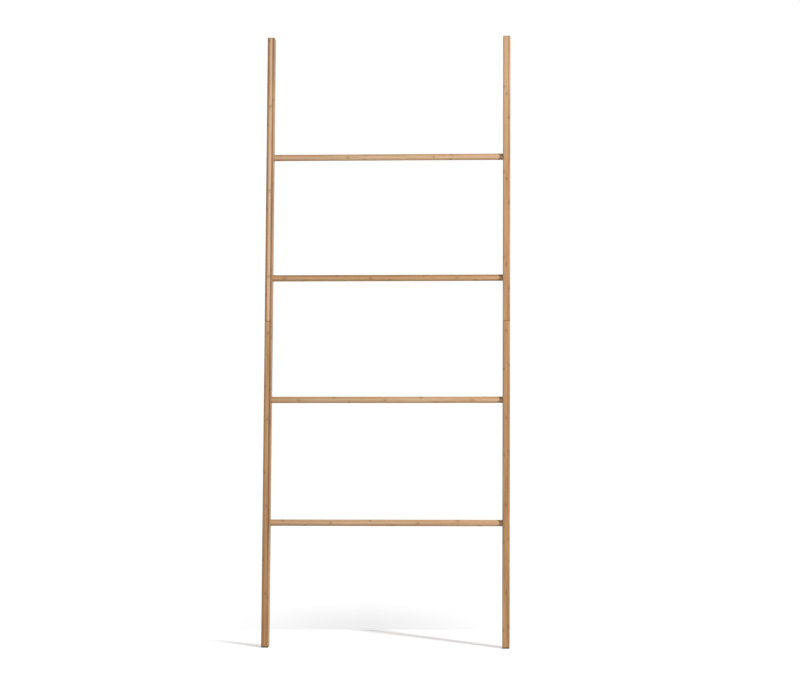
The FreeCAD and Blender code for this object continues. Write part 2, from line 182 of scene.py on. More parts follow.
class LadderPads(bpy.types.PropertyGroup):
    """The rubber feet, and the felt pads behind the tops."""

    foot_inset: length("Foot inset", "From the edge of the foot to the edge of its pad", 0.0004)
    foot_round: length("Foot round", "Moulded round on a foot pad's edges", 0.0005)
    felt_corner: length("Felt corner", "Corner radius of a felt pad", 0.002)
    felt_round: length("Felt round", "Soft round on a felt pad's edges", 0.0005)
    felt_nap: length("Felt nap", "How deep the felt's surface varies", 0.00012)
    rubber: colour("Rubber", "Matt dark rubber", (0.012, 0.01, 0.01))
    felt: colour("Felt", "Brown-grey pressed felt", (0.13, 0.088, 0.06))


class LadderStage(bpy.types.PropertyGroup):
    """The camera, the lamps and the pale room."""

    focal_length: number("Focal length", "Lens, for a sensor 36 mm wide", 130.5, unit="CAMERA")
    ambient: number("Ambient", "Light from all round", 0.12, min=0)
    key_power: number("Key power", "Lamp at the right, in front", 650, unit="POWER")
    fill_power: number("Fill power", "Soft lamp, nearly in front", 50, unit="POWER")
    floor_catch: number("Floor catch", "How much of its light and shade the floor shows", 1.75)
    floor_glow: number("Floor glow", "White added to the floor in the picture", 1.0)
    floor_dip: number("Floor dip", "How much less is added round the feet", 0.64)
    wall_catch: number("Wall catch", "How much of its light and shade the wall shows", 0.06)
    wall_glow: number("Wall glow", "White added to the wall in the picture", 0.99)
    # Painted shade: this much less white low on the wall behind the ladder greys it like a soft shadow.
    wall_painted_shadow: number("Wall dip", "How much less is added low down behind the ladder", 0.15)
    room: colour("Room", "Floor and wall", (0.55, 0.55, 0.55))


# ---- Node trees ----


class Wire:
    """A node's output. Python's arithmetic on it adds Math nodes to the same tree."""

    def __init__(self, board, socket):
        self.board = board
        self.socket = socket

    def out(self, name):
        """Another output of the same node."""
        return Wire(self.board, self.socket.node.outputs[name])

    def __add__(self, other):
        return self.board.math("ADD", self, other)

    def __radd__(self, other):
        return self.board.math("ADD", other, self)

    def __sub__(self, other):
        return self.board.math("SUBTRACT", self, other)

    def __rsub__(self, other):
        return self.board.math("SUBTRACT", other, self)

    def __mul__(self, other):
        return self.board.math("MULTIPLY", self, other)

    def __rmul__(self, other):
        return self.board.math("MULTIPLY", other, self)

    def __truediv__(self, other):
        return self.board.math("DIVIDE", self, other)

    def __mod__(self, other):
        return self.board.math("FLOORED_MODULO", self, other)

    def __abs__(self):
        return self.board.math("ABSOLUTE", self)

    def at_least(self, other):
        """The larger of the two."""
        return self.board.math("MAXIMUM", self, other)

    def at_most(self, other):
        """The smaller of the two."""
        return self.board.math("MINIMUM", self, other)

    def within(self, low, high):
        """The value, kept between two limits."""
        return self.at_least(low).at_most(high)


class Board:
    """A node tree that nodes are added to."""

    def __init__(self, tree):
        self.tree = tree

    def add(self, kind, settings=None, inputs=None, output=0):
        """Adds a node with its settings first, then values or wires in its sockets, by name or number."""
        node = self.tree.nodes.new(kind)
        for name, value in (settings or {}).items():
            setattr(node, name, value)
        self.fill(node, inputs or {})
        return Wire(self, node.outputs[output]) if len(node.outputs) else node

    def fill(self, node, inputs):
        """Puts values or wires in a node's sockets, by name or number."""
        for name, value in inputs.items():
            if isinstance(value, Wire):
                self.tree.links.new(value.socket, node.inputs[name])
            else:
                node.inputs[name].default_value = value

    def math(self, operation, *values):
        """A Math node of that operation on these values."""
        return self.add("ShaderNodeMath", {"operation": operation}, dict(enumerate(values)))

    def vector(self, x, y, z):
        """A vector of three numbers or wires."""
        return self.add("ShaderNodeCombineXYZ", inputs={0: x, 1: y, 2: z})

    def parts(self, vector):
        """The three numbers of a vector."""
        split = self.add("ShaderNodeSeparateXYZ", inputs={0: vector})
        return split, split.out("Y"), split.out("Z")

    def mix(self, factor, first, second):
        """A colour between two."""
        inputs = {"Factor": factor, 6: opaque(first), 7: opaque(second)}
        return self.add("ShaderNodeMix", {"data_type": "RGBA"}, inputs, output=2)

    def step(self, value, low, high):
        """0 below low, 1 above high and smooth in between."""
        inputs = {"Value": value, 1: low, 2: high}
        return self.add("ShaderNodeMapRange", {"interpolation_type": "SMOOTHSTEP"}, inputs)


def opaque(shade):
    """A colour with its alpha, or a wire as it is."""
    return shade if isinstance(shade, Wire) else (*shade, 1)


# ---- Shapes made by Geometry Nodes ----

QUARTER_TURN = math.pi / 2
HEX = 6

# How many segments a quarter round, a turned shape and the round of a bar's long edge have.
ROUND_STEPS = 5
ROUND_SIDES = 48
CORNER_STEPS = 8

# Edges that turn by less than SMOOTH_UNDER look smooth, and points closer than WELD become one. A cutting
# tool starts OVERRUN outside the wood, and changes its radius within a STEP.
SMOOTH_UNDER = math.radians(35)
WELD = 0.000002
OVERRUN = 0.001
STEP = 0.00001

# The broken edge of a screw's head, the end of the drilled point in its socket, and the felt's surface.
BURR = 0.00015
POINT_RADIUS = 0.0002
NAP_SCALE = 1800.0


def new_tree(name, floats, **others):
    """A Geometry Nodes tree with these inputs and a material, and what gives an input's wire by its name."""
    tree = bpy.data.node_groups.new(name, "GeometryNodeTree")
    kinds = {label: "Float" for label in floats.split()} | others | {"material": "Material"}
    for label, kind in kinds.items():
        label = label.replace("_", " ").capitalize()
        tree.interface.new_socket(name=label, in_out="INPUT", socket_type=f"NodeSocket{kind}")
    tree.interface.new_socket(name="Geometry", in_out="OUTPUT", socket_type="NodeSocketGeometry")
    board = Board(tree)
    return board, board.add("NodeGroupInput").out


def close_tree(board, shape, material):
    """Ends a tree in Realize Instances and Set Material."""
    realized = board.add("GeometryNodeRealizeInstances", inputs={"Geometry": shape})
    finished = board.add("GeometryNodeSetMaterial", inputs={"Geometry": realized, "Material": material})
    board.add("NodeGroupOutput", inputs={0: finished})
    return board.tree


def welded(board, shape):
    """The shape with its doubled points made one."""
    return board.add("GeometryNodeMergeByDistance", inputs={"Geometry": shape, "Distance": WELD})


def crease(board, shape):
    """Welds doubled points, drops loose edges and shades smooth, except across sharp corners."""
    neighbours = board.add("GeometryNodeInputMeshEdgeNeighbors")
    loose = board.add(
        "FunctionNodeCompare", {"data_type": "INT", "operation": "EQUAL"}, {"A": neighbours, "B": 0}
    )
    whole = board.add(
        "GeometryNodeDeleteGeometry",
        {"domain": "EDGE", "mode": "EDGE_FACE"},
        {"Geometry": welded(board, shape), "Selection": loose},
    )
    smooth = board.add("GeometryNodeSetShadeSmooth", inputs={"Geometry": whole})
    angle = board.add("GeometryNodeInputMeshEdgeAngle")
    sharp = board.add("FunctionNodeCompare", {"operation": "GREATER_THAN"}, {0: angle, 1: SMOOTH_UNDER})
    return board.add(
        "GeometryNodeStoreNamedAttribute",
        {"data_type": "BOOLEAN", "domain": "EDGE"},
        {"Geometry": smooth, "Name": "sharp_edge", "Value": sharp},
    )


def placed(board, shape, place=(0, 0, 0), turn=(0, 0, 0)):
    """The shape turned and then moved."""
    rotation = board.add("FunctionNodeEulerToRotation", inputs={0: turn})
    inputs = {"Geometry": shape, "Translation": place, "Rotation": rotation}
    return board.add("GeometryNodeTransform", inputs=inputs)


def drilled(board, shape, *tools):
    """The shape with the tools' shapes cut out of it."""
    cut = board.add("GeometryNodeMeshBoolean", {"operation": "DIFFERENCE", "solver": "EXACT"}, {0: shape})
    for tool in tools:
        board.tree.links.new(tool.socket, cut.socket.node.inputs[1])
    return board.add("GeometryNodeTriangulate", inputs={"Mesh": cut})


def turned(board, stations, segments=ROUND_SIDES):
    """A closed shape turned about x, through stations that are pairs of a place along x and a radius."""
    index = board.add("GeometryNodeInputIndex")
    columns = []
    for column in zip(*stations):
        switch = board.add("GeometryNodeIndexSwitch", {"data_type": "FLOAT"}, {0: index})
        node = switch.socket.node
        for _ in range(len(column) - 2):
            node.index_switch_items.new()
        board.fill(node, dict(enumerate(column, start=1)))
        columns.append(switch)
    along, radius = columns
    inputs = {"Count": len(stations), "Position": board.vector(along, 0.0, 0.0)}
    points = board.add("GeometryNodePoints", inputs=inputs)
    spine = board.add("GeometryNodePointsToCurves", inputs={"Points": points})
    section = board.add(
        "GeometryNodeCurvePrimitiveCircle", {"mode": "RADIUS"}, {"Resolution": segments, "Radius": 1.0}
    )
    sweep = {"Curve": spine, "Profile Curve": section, "Scale": radius, "Fill Caps": True}
    return board.add("GeometryNodeCurveToMesh", inputs=sweep)


def stepped(board, radius, step_depth, inner_radius, depth):
    """The tool for a hole that narrows at a step."""
    outer = [(-OVERRUN, radius), (step_depth, radius)]
    return turned(board, [*outer, (step_depth + STEP, inner_radius), (depth, inner_radius)])


def quarter_round(end, direction, radius, ease):
    """Stations that ease the end of a turned shape, from its flat face back to its full radius."""
    stations = []
    for number in range(ROUND_STEPS + 1):
        angle = number / ROUND_STEPS * QUARTER_TURN
        along = end - ease * (direction * (1 - math.cos(angle)))
        stations.append((along, radius - ease * (1 - math.sin(angle))))
    return stations


def eased(from_end, radius):
    """How far a quarter round of that radius draws the outline in, that far from the end."""
    reach = (1 - from_end / radius).within(0, 1)
    return radius * (1 - reach.board.math("SQRT", 1 - reach * reach))


def rounded_bar(board, width, depth, corner, height, start_round, end_round, spacing):
    """A bar up z with round long edges, whose ends are eased by quarter rounds."""
    index = board.add("GeometryNodeInputIndex")
    rings = board.math("CEIL", height / spacing) + (2 * ROUND_STEPS + 1)
    rise = (index / ROUND_STEPS).within(0, 1) * QUARTER_TURN
    fall = ((rings - 1 - index) / ROUND_STEPS).within(0, 1) * QUARTER_TURN
    between = ((index - ROUND_STEPS) / (rings - (2 * ROUND_STEPS + 1))).within(0, 1)
    level = (
        start_round * (1 - board.math("COSINE", rise))
        + between * (height - start_round - end_round)
        + end_round * board.math("COSINE", fall)
    )
    inputs = {"Count": rings, "Position": board.vector(0.0, 0.0, level)}
    points = board.add("GeometryNodePoints", inputs=inputs)
    spine = board.add("GeometryNodePointsToCurves", inputs={"Points": points})
    outline = board.add("GeometryNodeCurvePrimitiveQuadrilateral", inputs={"Width": width, "Height": depth})
    halved = board.add("GeometryNodeSubdivideCurve", inputs={"Curve": outline, "Cuts": 1})
    fillet = {"Curve": halved, "Count": CORNER_STEPS, "Radius": corner}
    section = board.add("GeometryNodeFilletCurve", {"mode": "POLY"}, fillet)
    sweep = {"Curve": spine, "Profile Curve": section, "Fill Caps": True}
    bar = board.add("GeometryNodeCurveToMesh", inputs=sweep)
    x, y, z = board.parts(board.add("GeometryNodeInputPosition"))
    draw_in = 1 - (eased(z, start_round) + eased(height - z, end_round)) / corner
    core = []
    for place, size in ((x, width), (y, depth)):
        edge = size / 2 - corner
        kept = place.within(0 - edge, edge)
        core.append(kept + (place - kept) * draw_in)
    inputs = {"Geometry": bar, "Position": board.vector(*core, z)}
    return board.add("GeometryNodeSetPosition", inputs=inputs)


def rail_tree():
    """A length of rail: its bar, seats for two rungs, a bore at the joint, and its level and plumb cuts."""
    floats = (
        "start finish width depth corner start_round end_round spacing outward first_seat seat_pitch"
        " face_radius hole_radius socket_radius socket_depth mouth_ease joint upward mouth_radius"
        " mouth_depth bore_radius bore_depth lean lowest rearmost"
    )
    board, size = new_tree("Rail Length", floats, place="Vector")

    height = size("Finish") - size("Start")
    section = (size("Width"), size("Depth"), size("Corner"))
    rounds = (size("Start round"), size("End round"))
    bar = rounded_bar(board, *section, height, *rounds, size("Spacing"))
    wood = placed(board, bar, board.vector(0.0, 0.0, size("Start")))

    socket_floor = size("Width") - size("Socket depth")
    seat_tool = turned(
        board,
        [
            (-OVERRUN, size("Face radius") + OVERRUN),
            (size("Face radius") - size("Hole radius"), size("Hole radius")),
            (socket_floor, size("Hole radius")),
            (socket_floor + STEP, size("Socket radius")),
            (size("Width") - size("Mouth ease"), size("Socket radius")),
            (size("Width") + OVERRUN, size("Socket radius") + size("Mouth ease") + OVERRUN),
        ],
    )
    half_turn = (size("Outward") + 1) * QUARTER_TURN
    outer_face = size("Outward") * size("Width") / 2
    first = board.vector(outer_face, 0.0, size("First seat"))
    inputs = {"Count": 2, "Start Location": first, "Offset": board.vector(0.0, 0.0, size("Seat pitch"))}
    seats = board.add("GeometryNodeMeshLine", inputs=inputs)
    seat_turn = board.add("FunctionNodeEulerToRotation", inputs={0: board.vector(0.0, 0.0, half_turn)})
    inputs = {"Points": seats, "Instance": seat_tool, "Rotation": seat_turn}
    seat_tools = board.add("GeometryNodeInstanceOnPoints", inputs=inputs)
    seat_cuts = board.add("GeometryNodeRealizeInstances", inputs={"Geometry": seat_tools})

    mouth = (size("Mouth radius"), size("Mouth depth"))
    bore_tool = stepped(board, *mouth, size("Bore radius"), size("Bore depth"))
    bore_turn = board.vector(0.0, size("Upward") * -QUARTER_TURN, 0.0)
    bore_cut = placed(board, bore_tool, board.vector(0.0, 0.0, size("Joint")), bore_turn)
    cut = drilled(board, wood, seat_cuts, bore_cut)

    leaning = placed(board, cut, size("Place"), board.vector(0 - size("Lean"), 0.0, 0.0))
    x, y, z = board.parts(board.add("GeometryNodeInputPosition"))
    below = (size("Lowest") - z).at_least(0) / board.math("COSINE", size("Lean"))
    level_y = y + below * board.math("SINE", size("Lean"))
    level_z = z + below * board.math("COSINE", size("Lean"))
    seated = board.vector(x, level_y.at_most(size("Rearmost")), level_z)
    trimmed = board.add("GeometryNodeSetPosition", inputs={"Geometry": leaning, "Position": seated})
    return close_tree(board, crease(board, trimmed), size("Material"))


def rung_tree():
    """A round rung along x with eased ends, and an insert's seat and a screw's bore in each."""
    floats = "length radius round seat_radius seat_depth bore_radius bore_depth lean"
    board, size = new_tree("Rung", floats, place="Vector")
    half = size("Length") / 2
    left_end = quarter_round(0 - half, -1, size("Radius"), size("Round"))
    right_end = quarter_round(half, 1, size("Radius"), size("Round"))
    rod = turned(board, [*left_end, *reversed(right_end)])
    insert_seat = (size("Seat radius"), size("Seat depth"))
    tool = stepped(board, *insert_seat, size("Bore radius"), size("Bore depth"))
    left_tool = placed(board, tool, board.vector(0 - half, 0.0, 0.0))
    right_tool = placed(board, tool, board.vector(half, 0.0, 0.0), (0, 0, math.pi))
    cut = drilled(board, rod, left_tool, right_tool)
    leaning = placed(board, cut, size("Place"), board.vector(0 - size("Lean"), 0.0, 0.0))
    return close_tree(board, crease(board, leaning), size("Material"))


def screw_tree():
    """Countersunk screws with hex sockets, one at each rung's end, up both rails."""
    floats = "length head_radius shank_radius rim key key_depth point outside"
    board, size = new_tree("Rung Screws", floats, count="Int", first="Vector", step="Vector")
    cone_end = size("Rim") + size("Head radius") - size("Shank radius")
    blank = turned(
        board,
        [
            (0.0, size("Head radius") - BURR),
            (BURR, size("Head radius")),
            (size("Rim"), size("Head radius")),
            (cone_end, size("Shank radius")),
            (size("Length") - size("Point"), size("Shank radius")),
            (size("Length"), size("Shank radius") - size("Point")),
        ],
    )
    corner = size("Key") / 2 / math.cos(math.pi / HEX)
    flat_end = size("Key depth")
    drilled_point = (flat_end + corner / 3, POINT_RADIUS)
    key_tool = turned(board, [(-OVERRUN, corner), (flat_end, corner), drilled_point], HEX)
    screw = crease(board, drilled(board, blank, key_tool))
    sets = []
    for outward in SIDES.values():
        outer_face = board.vector(size("Outside") * outward, 0.0, 0.0)
        start = board.add("ShaderNodeVectorMath", {"operation": "ADD"}, {0: size("First"), 1: outer_face})
        inputs = {"Count": size("Count"), "Start Location": start, "Offset": size("Step")}
        seats = board.add("GeometryNodeMeshLine", inputs=inputs)
        facing = placed(board, screw, turn=(0, 0, math.pi if outward > 0 else 0))
        sets.append(board.add("GeometryNodeInstanceOnPoints", inputs={"Points": seats, "Instance": facing}))
    both = board.add("GeometryNodeJoinGeometry")
    for screws in sets:
        board.tree.links.new(screws.socket, both.socket.node.inputs[0])
    return close_tree(board, both, size("Material"))


def pad_tree():
    """A flat pad with round corners and soft edges, whose surface may have a nap."""
    floats = "width depth corner thickness round spacing nap"
    board, size = new_tree("Pad", floats, place="Vector", turn="Vector")
    section = (size("Width"), size("Depth"), size("Corner"))
    rounds = (size("Round"), size("Round"))
    bar = rounded_bar(board, *section, size("Thickness"), *rounds, size("Spacing"))
    fuzz = board.add("ShaderNodeTexNoise", inputs={"Scale": NAP_SCALE, "Detail": 2.0})
    normal = board.add("GeometryNodeInputNormal")
    inputs = {0: normal, "Scale": fuzz * size("Nap") * -1}
    offset = board.add("ShaderNodeVectorMath", {"operation": "SCALE"}, inputs)
    soft = board.add("GeometryNodeSetPosition", inputs={"Geometry": welded(board, bar), "Offset": offset})
    standing = placed(board, soft, size("Place"), size("Turn"))
    return close_tree(board, crease(board, standing), size("Material"))


def add_object(name, data):
    """A new object in the scene, with that data."""
    added = bpy.data.objects.new(name, data)
    bpy.context.scene.collection.objects.link(added)
    return added


def grow(name, tree, sizes):
    """A piece with the plain mesh that a tree makes from these sizes."""
    piece = add_object(name, bpy.data.meshes.new(f"{name}_blank"))
    maker = piece.modifiers.new(tree.name, "NODES")
    maker.node_group = tree
    for socket in tree.interface.items_tree:
        if socket.in_out == "INPUT":
            maker[socket.identifier] = sizes[socket.name.lower().replace(" ", "_")]
    evaluated = piece.evaluated_get(bpy.context.evaluated_depsgraph_get())
    mesh = bpy.data.meshes.new_from_object(evaluated)
    piece.modifiers.remove(maker)
    piece.data = mesh
    mesh.name = name
    mesh.materials.clear()
    mesh.materials.append(sizes["material"])
    mesh.polygons.foreach_set("material_index", [0] * len(mesh.polygons))
    if not mesh.polygons:
        raise RuntimeError(f"{name} has no faces")
    return piece


# ---- Materials ----

# Where the floor and the wall are less than white in the picture: the middle of a patch, how far it reaches
# from there along x, y and z, and how far out, as a share of that, it starts to fade. On the floor the patch
# only lets the feet's own shadows show; on the wall it is painted shade, a soft grey shadow low down behind
# the ladder.
FLOOR_PATCH = ((0, 0, 0), (0.6, 0.6, 1), 0.5)
WALL_PAINTED_SHADOW = ((-0.08, WALL_Y, 0), (0.42, 1, 0.09), 0.0)

# The bamboo's noises, in waves to the metre along x, y and z of the piece's own frame.
GRAIN_SCALE = (650.0, 650.0, 9.0)
FIBRE_SCALE = (2300.0, 2300.0, 26.0)
DRIFT_SCALE = (30.0, 30.0, 4.5)
WOBBLE_SCALE = (210.0, 210.0, 40.0)
PORE_SCALE = 1500.0

# Where the bamboo's marks start to fade and where they are gone: by distance from a node or a glued edge, in
# metres, or by the height of a noise. END_GRAIN is how far a face has to turn towards z.
NODE_LINE = (0.0002, 0.0012)
NODE_BAND = (0.001, 0.009)
GLUE_LINE = (0.00003, 0.00022)
STREAKS = (0.56, 0.74)
PORES = (0.12, 0.4)
END_GRAIN = (0.05, 0.5)

# How far each part of the pattern moves the tone, and how far each mark hides what is under it.
TINT_SHARE = 0.16
GRAIN_SHARE = 0.7
DRIFT_SHARE = 0.6
STREAK_COVER = 0.32
GLUE_COVER = 0.28
LINE_COVER = 0.65
BAND_COVER = 0.26
END_COVER = 0.85

# Each layer's strips are shifted by a share of a strip, and a node wanders along its strip by a length.
LAYER_SHIFT = 0.37
NODE_WANDER = 0.006

CLOUDED_ZINC = (0.4, 0.39, 0.36)
TARNISH = (0.3, 0.19, 0.06)
DUST = (0.06, 0.053, 0.047)
PALE_FELT = (0.24, 0.18, 0.13)
DARK_FELT = (0.07, 0.045, 0.03)


def new_material(name):
    """A material with an empty tree, and its board."""
    material = bpy.data.materials.new(name)
    material.use_nodes = True
    material.node_tree.nodes.clear()
    return material, Board(material.node_tree)


def surface(board, varying, constants, height, strength, distance):
    """Ends a material in a Principled shader whose bump has that height, strength and distance."""
    relief = {"Strength": strength, "Distance": distance, "Height": height}
    normal = board.add("ShaderNodeBump", inputs=relief)
    inputs = {**varying, "Normal": normal, **constants}
    shader = board.add("ShaderNodeBsdfPrincipled", inputs=inputs)
    board.add("ShaderNodeOutputMaterial", inputs={"Surface": shader})


def in_frame(board, kind, **where):
    """Texture coordinates of that kind, in a frame with that Location, Rotation or Scale."""
    inputs = {"Vector": board.add("ShaderNodeTexCoord").out(kind), **where}
    return board.add("ShaderNodeMapping", {"vector_type": "TEXTURE"}, inputs)


def noise(board, vector, scale, detail=2.0, roughness=0.5):
    """Noise from 0 to 1, mostly near the middle, whose scale differs along the three axes."""
    stretched = board.add("ShaderNodeVectorMath", {"operation": "MULTIPLY"}, {0: vector, 1: scale})
    inputs = {"Vector": stretched, "Scale": 1.0, "Detail": detail, "Roughness": roughness}
    return board.add("ShaderNodeTexNoise", inputs=inputs)


def chance(board, vector, salt):
    """A number from 0 to 1 that is the same wherever the vector is."""
    inputs = {"Vector": vector, "W": salt}
    return board.add("ShaderNodeTexWhiteNoise", {"noise_dimensions": "4D"}, inputs)


def bamboo(name, wood, tones, seed, place, turn):
    """Laminated bamboo whose strips run along z of the piece's own frame.

    Each strip has its own tint and its own nodes, the dark lines where the cane's joints were. tones holds
    two places along z, and for each the tones of the three glued layers, from 0, pale, through 0.5, amber,
    to 1, deep. On some rails these tones also paint a highlight or shade.
    """
    material, board = new_material(name)
    point = in_frame(board, "Object", Location=place, Rotation=turn)
    x, y, z = board.parts(point)

    layer_place = x / wood.layer + 0.5
    layer = board.math("FLOOR", layer_place)
    strip_place = y / wood.strip + 0.5 + layer * LAYER_SHIFT
    strip = board.math("FLOOR", strip_place)
    cell = board.vector(layer, strip, float(seed))
    tint = chance(board, cell, 1.0)
    phase = chance(board, cell, 2.0)
    (low, low_tones), (high, high_tones) = tones
    along_piece = ((z - low) / (high - low)).within(0, 1)
    in_first = (0 - layer).within(0, 1)
    in_last = layer.within(0, 1)
    in_middle = 1 - in_first - in_last
    tone = 0.0
    for held, at_low, at_high in zip((in_first, in_middle, in_last), low_tones, high_tones):
        tone = held * (along_piece * (at_high - at_low) + at_low) + tone

    apart = board.vector(tint, phase, 0.0)
    moved = board.add("ShaderNodeVectorMath", {"operation": "ADD"}, {0: point, 1: apart})
    grain = noise(board, moved, GRAIN_SCALE, 3.0, 0.55)
    fibre = noise(board, moved, FIBRE_SCALE, 2.0, 0.6)
    drift = noise(board, moved, DRIFT_SCALE, 1.0)
    wobble = noise(board, moved, WOBBLE_SCALE, 1.0)

    along = z + phase * wood.internode + (wobble - 0.5) * NODE_WANDER
    from_node = abs(along % wood.internode - wood.internode / 2)
    node_line = 1 - board.step(from_node, *NODE_LINE)
    node_band = 1 - board.step(from_node, *NODE_BAND)

    layer_edge = 0.5 - abs(layer_place - layer - 0.5)
    strip_edge = 0.5 - abs(strip_place - strip - 0.5)
    from_glue = (layer_edge * wood.layer).at_most(strip_edge * wood.strip)
    glue = 1 - board.step(from_glue, *GLUE_LINE)

    depth = tone + (tint - 0.5) * TINT_SHARE + (grain - 0.5) * GRAIN_SHARE + (drift - 0.5) * DRIFT_SHARE
    shade = board.mix((depth * 2).within(0, 1), wood.pale, wood.amber)
    shade = board.mix((depth * 2 - 1).within(0, 1), shade, wood.deep)
    shade = board.mix(board.step(fibre, *STREAKS) * STREAK_COVER, shade, wood.node_brown)
    shade = board.mix(glue * GLUE_COVER, shade, wood.node_brown)
    node_cover = (node_line * LINE_COVER).at_least(node_band * BAND_COVER)
    shade = board.mix(node_cover, shade, wood.node_brown)

    facing = board.parts(in_frame(board, "Normal", Rotation=turn))[2]
    end = board.step(abs(facing), *END_GRAIN)
    inputs = {"Vector": point, "Scale": PORE_SCALE}
    pores = board.add("ShaderNodeTexVoronoi", {"voronoi_dimensions": "2D"}, inputs)
    end_shade = board.mix(board.step(pores, *PORES), wood.node_brown, wood.deep)
    shade = board.mix(end * END_COVER, shade, end_shade)

    rough = 0.4 + (fibre - 0.5) * 0.25 + end * 0.25 + node_line * 0.1
    relief = fibre * 0.6 + grain * 0.3 - glue * 0.6 - node_line * 0.5
    varying = {"Base Color": shade, "Roughness": rough.within(0.2, 0.9), "Coat Weight": (1 - end) * 0.12}
    constants = {"Specular IOR Level": 0.3, "Coat Roughness": 0.3, "Coat IOR": 1.48}
    surface(board, varying, constants, relief, 0.25, 0.00012)
    return material


def plated_steel(colours):
    """Zinc-plated steel: pale, a little cloudy, with fine turning marks."""
    material, board = new_material("zinc_plated_steel")
    point = in_frame(board, "Object")
    cloud = noise(board, point, (260.0,) * 3, 3.0)
    marks = noise(board, point, (5200.0, 900.0, 900.0), 1.0)
    shade = board.mix((cloud * 0.8).within(0, 1), colours.zinc, CLOUDED_ZINC)
    varying = {"Base Color": shade, "Roughness": 0.27 + marks * 0.16}
    surface(board, varying, {"Metallic": 1.0}, marks, 0.12, 0.00003)
    return material


def turned_brass(colours):
    """Plain turned brass, dulled in patches."""
    material, board = new_material("turned_brass")
    point = in_frame(board, "Object")
    patch = noise(board, point, (180.0,) * 3, 4.0)
    marks = noise(board, point, (4200.0, 700.0, 700.0), 1.0)
    shade = board.mix(board.step(patch, 0.42, 0.72), colours.brass, TARNISH)
    varying = {"Base Color": shade, "Roughness": 0.25 + marks * 0.2}
    surface(board, varying, {"Metallic": 1.0}, marks, 0.15, 0.00004)
    return material


def matt_rubber(colours):
    """Moulded rubber: almost black, with dust and a faint stipple."""
    material, board = new_material("matt_rubber")
    point = in_frame(board, "Object")
    stipple = noise(board, point, (3200.0,) * 3, 2.0)
    dust = noise(board, point, (240.0, 240.0, 500.0), 3.0)
    shade = board.mix(board.step(dust, 0.55, 0.8) * 0.4, colours.rubber, DUST)
    varying = {"Base Color": shade, "Roughness": 0.72 + (stipple - 0.5) * 0.3}
    surface(board, varying, {"Specular IOR Level": 0.4}, stipple, 0.3, 0.00008)
    return material


def pressed_felt(colours):
    """Felt: matt, mottled, with a nap of short fibres."""
    material, board = new_material("pressed_felt")
    point = in_frame(board, "Object")
    fibres = noise(board, point, (2600.0,) * 3, 4.0, 0.7)
    mottle = noise(board, point, (420.0,) * 3, 2.0)
    shade = board.mix(board.step(fibres, 0.35, 0.7), colours.felt, PALE_FELT)
    shade = board.mix(board.step(mottle, 0.45, 0.7) * 0.4, shade, DARK_FELT)
    varying = {"Base Color": shade, "Roughness": 0.85 + fibres * 0.15}
    surface(board, varying, {"Sheen Weight": 0.4, "Sheen Roughness": 0.5}, fibres, 0.7, 0.0003)
    return material


def in_picture(board):
    """1 for what the camera sees, also mirrored or through glass, and 0 for what only lights the scene."""
    rays = board.add("ShaderNodeLightPath")
    return rays.at_least(rays.out("Is Glossy Ray")).at_least(rays.out("Is Transmission Ray"))


def pale_surface(name, shade, catch, glow, dip, patch, one_way=False):
    """The floor's or the wall's finish: plain and pale to the light, and nearly white in the picture.

    catch is how much of its light and shade shows, glow what is added to that in the picture, and dip how
    much less is added in its patch. Where the lit surface stays white the dip only lets real shadows show;
    on the wall it paints a soft grey shadow low down behind the ladder. A one-way surface isn't there for
    what looks at it from behind.
    """
    material, board = new_material(name)
    middle_of_patch, reach, core = patch
    within_patch = in_frame(board, "Object", Location=middle_of_patch, Scale=reach)
    off = board.add("ShaderNodeVectorMath", {"operation": "LENGTH"}, {0: within_patch}, output="Value")
    # Less white in the patch: painted shade on the wall, room for the real shadows on the floor.
    glow = glow - dip * (1 - board.step(off, core, 1.0))
    seen = in_picture(board)
    dimmed = [channel * catch for channel in shade]
    diffuse = board.add("ShaderNodeBsdfDiffuse", inputs={"Color": board.mix(seen, shade, dimmed)})
    own = board.add("ShaderNodeEmission", inputs={"Color": (1, 1, 1, 1), "Strength": seen * glow})
    shader = board.add("ShaderNodeAddShader", inputs={0: diffuse, 1: own})
    if one_way:
        behind = board.add("ShaderNodeNewGeometry").out("Backfacing")
        clear = board.add("ShaderNodeBsdfTransparent")
        shader = board.add("ShaderNodeMixShader", inputs={0: behind, 1: shader, 2: clear})
    board.add("ShaderNodeOutputMaterial", inputs={"Surface": shader})
    return material


def pale_world(ambient):
    """A white backdrop for the camera, and even light from all round."""
    world = bpy.data.worlds.new("studio")
    world.use_nodes = True
    world.node_tree.nodes.clear()
    board = Board(world.node_tree)
    seen = in_picture(board)
    strength = seen * (1 - ambient) + ambient
    backdrop = board.add("ShaderNodeBackground", inputs={"Color": (1, 1, 1, 1), "Strength": strength})
    board.add("ShaderNodeOutputWorld", inputs={"Surface": backdrop})
    return world


# ---- Pieces ----

